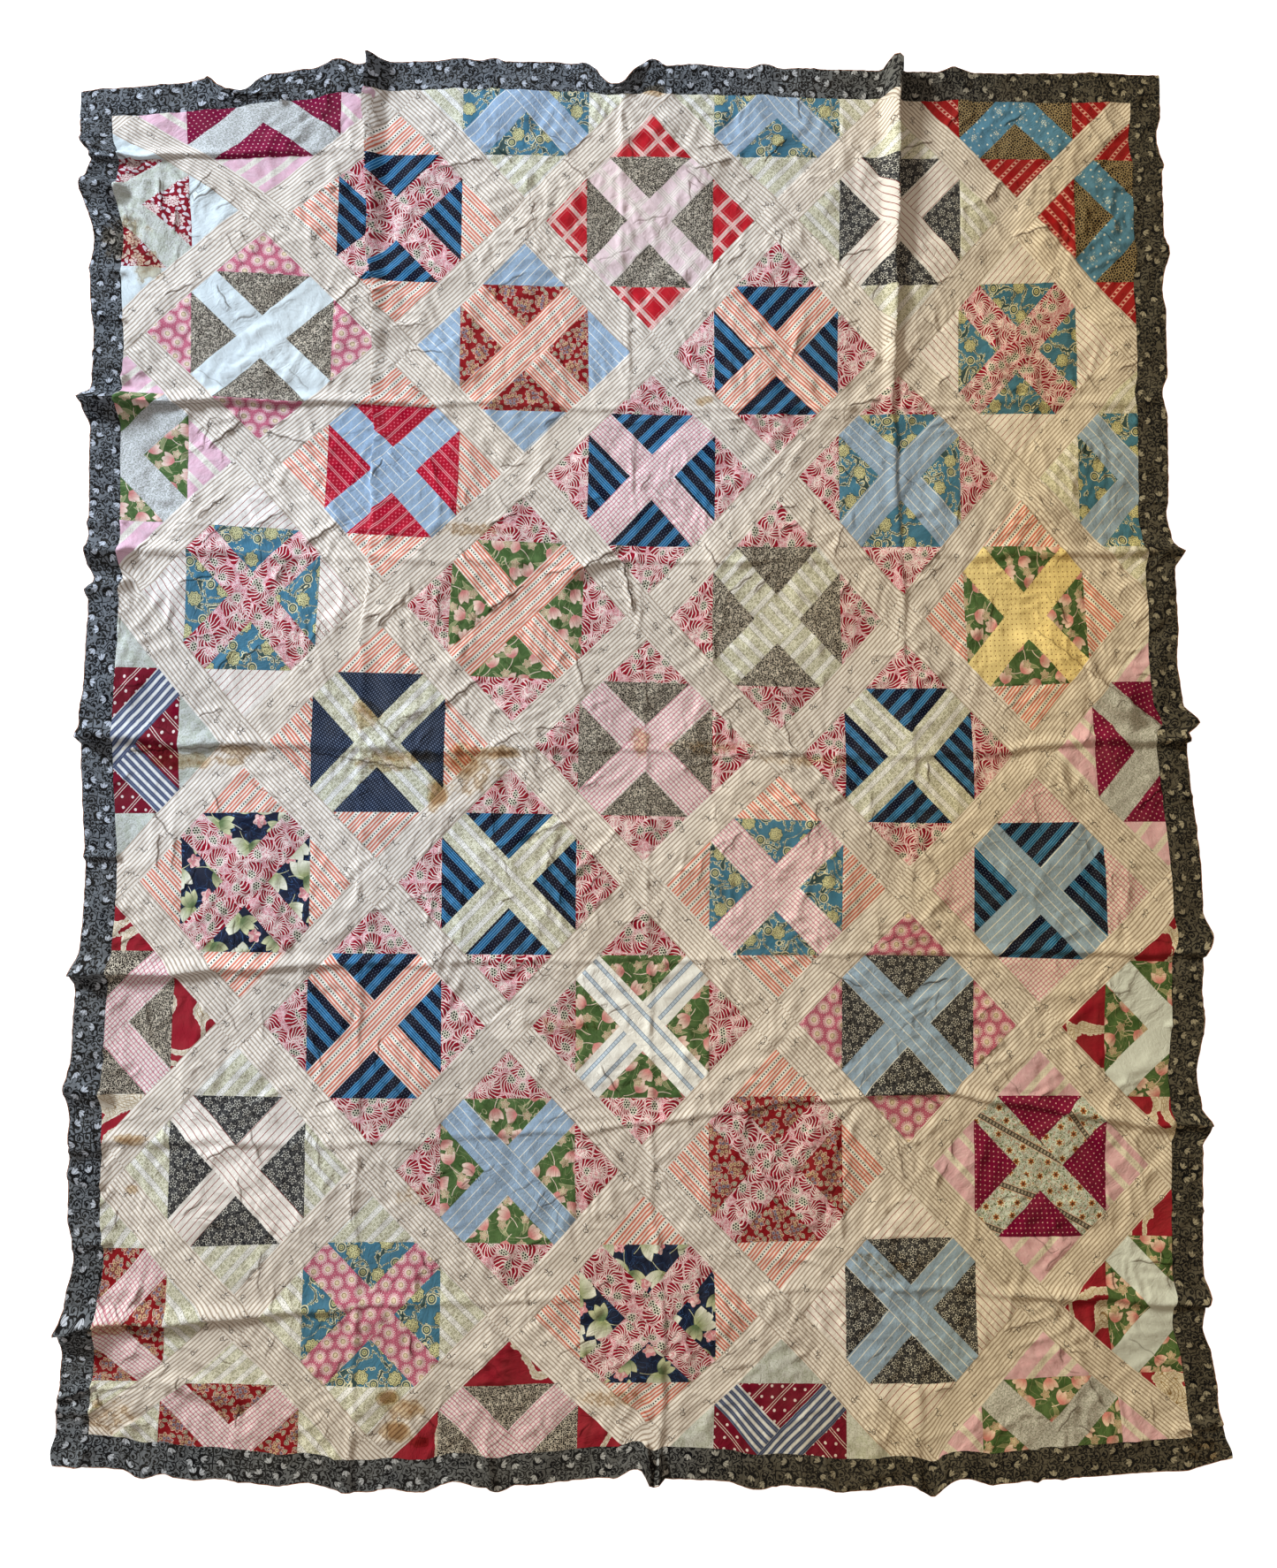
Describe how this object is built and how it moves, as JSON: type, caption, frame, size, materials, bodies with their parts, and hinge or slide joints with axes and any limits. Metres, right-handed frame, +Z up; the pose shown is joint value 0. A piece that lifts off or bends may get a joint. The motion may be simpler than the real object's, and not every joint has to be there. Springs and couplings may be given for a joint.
{
  "type": "quilt top",
  "caption": "Pieced cotton quilt top of album blocks set on point with striped sashing and a dark print border, laid out flat with its storage folds.",
  "frame": {"origin": "on the floor at the middle of the quilt's outline", "axes": "+Z up out of the quilt's face, +Y to its head end, +X to its right"},
  "size_m": [1.7196, 2.1546, 0.0392],
  "materials": {
    "patchwork_cotton": "matt printed cotton patches, slightly creased and stained with age",
    "border_print": "matt charcoal cotton print with small scrolls and pale buds, raw edge"
  },
  "bodies": {
    "root": {"patchwork_field": "patchwork_cotton", "border_top": "border_print", "border_bottom": "border_print", "border_left": "border_print", "border_right": "border_print"}
  },
  "joints": []
}
